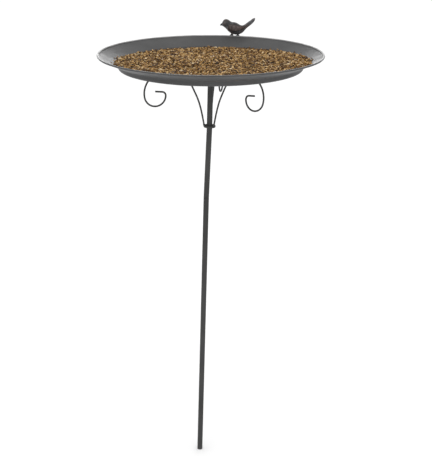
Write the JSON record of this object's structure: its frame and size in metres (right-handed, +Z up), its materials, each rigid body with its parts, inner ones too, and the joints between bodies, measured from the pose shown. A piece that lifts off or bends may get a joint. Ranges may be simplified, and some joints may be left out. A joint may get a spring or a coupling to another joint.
{
  "type": "bird feeder on pole",
  "caption": "Shallow round seed dish with a small bird figure on its rim, on three scrolled wire arms and a slim plug-together pole with a ground fork.",
  "frame": {"origin": "centre of the pole at ground level", "axes": "+Z up, +X to the right and +Y away from someone who faces the bird across the dish"},
  "size_m": [0.32, 0.3284, 0.8153],
  "materials": {
    "powder_coat": "satin dark grey powder coat",
    "zinc_steel": "zinc plated",
    "bird_cast": "antiqued brown-grey paint on a casting",
    "rubber": "matte",
    "seed": "dry mixed bird seed"
  },
  "bodies": {
    "ground_stake": {"pole_lower": "powder_coat", "fork_sleeve": "powder_coat", "foot_bar": "powder_coat", "ground_point": "zinc_steel", "fork_prong_left": "powder_coat", "fork_prong_right": "powder_coat"},
    "lower_plug": {"lower_joiner": "powder_coat"},
    "middle_section": {"pole_middle": "powder_coat"},
    "upper_plug": {"upper_joiner": "powder_coat"},
    "upper_section": {"pole_upper": "powder_coat"},
    "top_plug": {"top_joiner": "powder_coat"},
    "dish_head": {"stem_tube": "powder_coat", "stem_insert": "zinc_steel", "arm_collar": "powder_coat", "scroll_arm_back": "powder_coat", "scroll_arm_left": "powder_coat", "scroll_arm_right": "powder_coat", "seat_washer": "powder_coat", "dish": "powder_coat", "rubber_washer": "rubber", "steel_washer": "zinc_steel", "centre_screw": "zinc_steel", "seed_bed": "seed", "bird": "bird_cast", "bird_tab": "powder_coat", "bird_nut_front": "zinc_steel", "bird_nut_rear": "zinc_steel"}
  },
  "joints": [
    {"name": "lower_pull", "type": "slide", "parent": "ground_stake", "child": "lower_plug", "axis": [0.0241, 0, 0.9997], "range_m": [0, 0.02]},
    {"name": "lower_swivel", "type": "hinge", "parent": "lower_plug", "child": "middle_section", "pos_m": [0.00499, 0, 0.20714], "axis": [0.0241, 0, 0.9997], "continuous": true},
    {"name": "upper_pull", "type": "slide", "parent": "middle_section", "child": "upper_plug", "axis": [0.0241, 0, 0.9997], "range_m": [0, 0.02]},
    {"name": "upper_swivel", "type": "hinge", "parent": "upper_plug", "child": "upper_section", "pos_m": [0.01014, 0, 0.42078], "axis": [0.0436, 0, 0.999], "continuous": true},
    {"name": "top_pull", "type": "slide", "parent": "upper_section", "child": "top_plug", "axis": [0.0436, 0, 0.999], "range_m": [0, 0.02]},
    {"name": "top_swivel", "type": "hinge", "parent": "top_plug", "child": "dish_head", "pos_m": [0.01475, 0, 0.52638], "axis": [0.0209, 0, 0.9998], "continuous": true}
  ]
}
